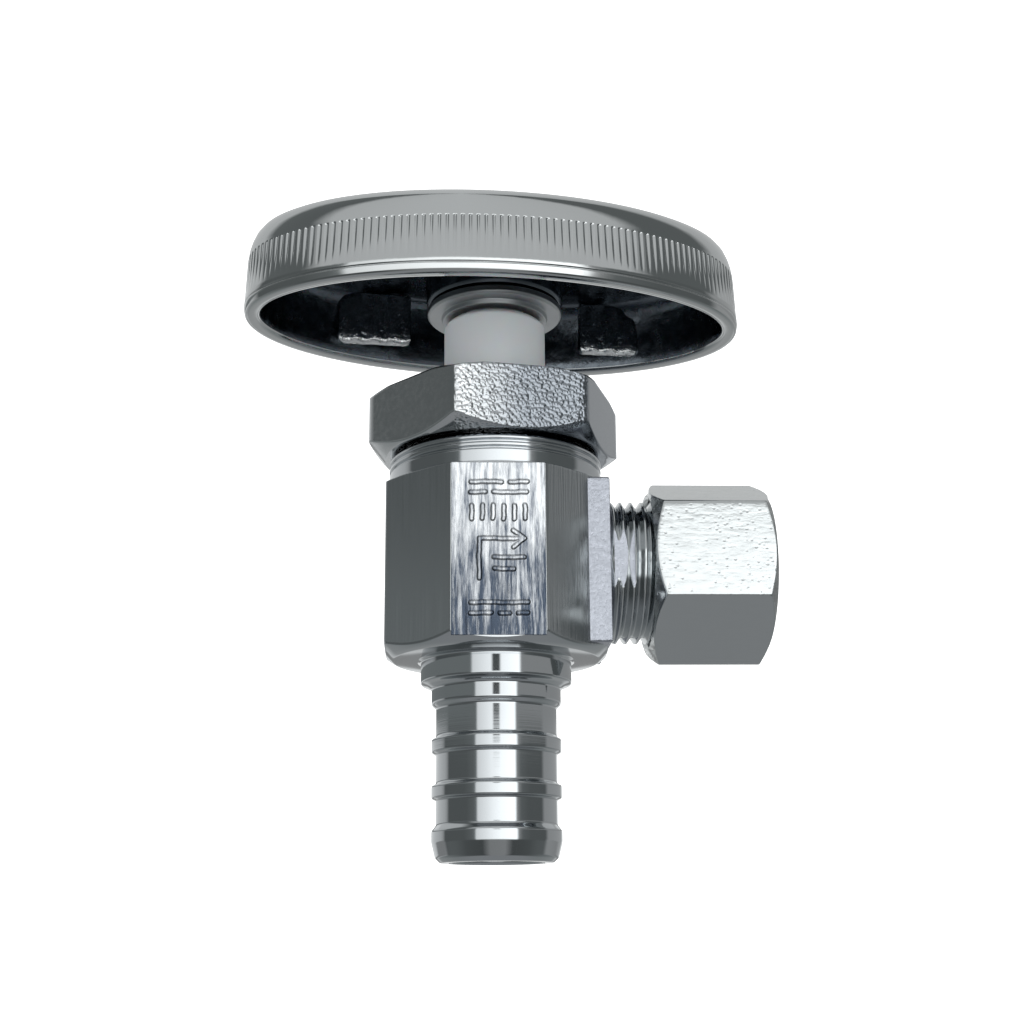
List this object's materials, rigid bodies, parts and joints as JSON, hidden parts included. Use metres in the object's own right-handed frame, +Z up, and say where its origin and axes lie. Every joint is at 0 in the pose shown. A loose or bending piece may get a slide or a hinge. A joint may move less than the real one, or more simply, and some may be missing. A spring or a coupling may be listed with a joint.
{
  "type": "angle stop valve",
  "caption": "Angle stop valve: ribbed pipe inlet below, threaded compression outlet at the side, oval fluted handle that turns and lifts a stem.",
  "frame": {"origin": "centre of the inlet spigot's end face", "axes": "+Z up along the stem, from the inlet to the handle; +X along the outlet, away from the body; +Y to the back"},
  "size_m": [0.0523, 0.0292, 0.0651],
  "materials": {
    "valve_body": "chrome plate over forged brass",
    "bonnet": "chrome plate over rough brass",
    "bonnet_o_ring": "matte",
    "stem_o_ring": "matte",
    "stem": "moulded white acetal",
    "swivel_disc": "turned",
    "seat_washer": "matte",
    "washer_screw": "turned",
    "hub_washer": "satin",
    "handle": "chrome plate over die-cast zinc",
    "lock_washer": "satin",
    "handle_screw": "zinc plated",
    "ferrule": "turned",
    "compression_nut": "chrome plate over brass"
  },
  "bodies": {
    "valve": {"valve_body": "valve_body", "bonnet": "bonnet", "bonnet_o_ring": "bonnet_o_ring", "stem_o_ring": "stem_o_ring"},
    "seat_carrier": {"swivel_disc": "swivel_disc", "seat_washer": "seat_washer", "washer_screw": "washer_screw"},
    "stem_and_handle": {"stem": "stem", "hub_washer": "hub_washer", "handle": "handle", "lock_washer": "lock_washer", "handle_screw": "handle_screw"},
    "ferrule_group": {"ferrule": "ferrule"},
    "nut_group": {"compression_nut": "compression_nut"}
  },
  "joints": [
    {"name": "seat_travel", "type": "slide", "parent": "valve", "child": "seat_carrier", "axis": [0, 0, 1], "range_m": [-0.006, 0]},
    {"name": "handle_turn", "type": "hinge", "parent": "seat_carrier", "child": "stem_and_handle", "pos_m": [0, 0, 0.045], "axis": [0, 0, 1], "range_deg": [-1440, 0]},
    {"name": "ferrule_travel", "type": "slide", "parent": "valve", "child": "ferrule_group", "axis": [1, 0, 0], "range_m": [-0.00106, 0.00636]},
    {"name": "nut_turn", "type": "hinge", "parent": "ferrule_group", "child": "nut_group", "pos_m": [0.02, 0, 0.0286], "axis": [1, 0, 0], "range_deg": [-360, 2160]}
  ],
  "couplings": [
    {"joint": "seat_travel", "follows": "handle_turn", "m_per_rad": 0.00023873},
    {"joint": "ferrule_travel", "follows": "nut_turn", "m_per_rad": 0.00016844}
  ]
}
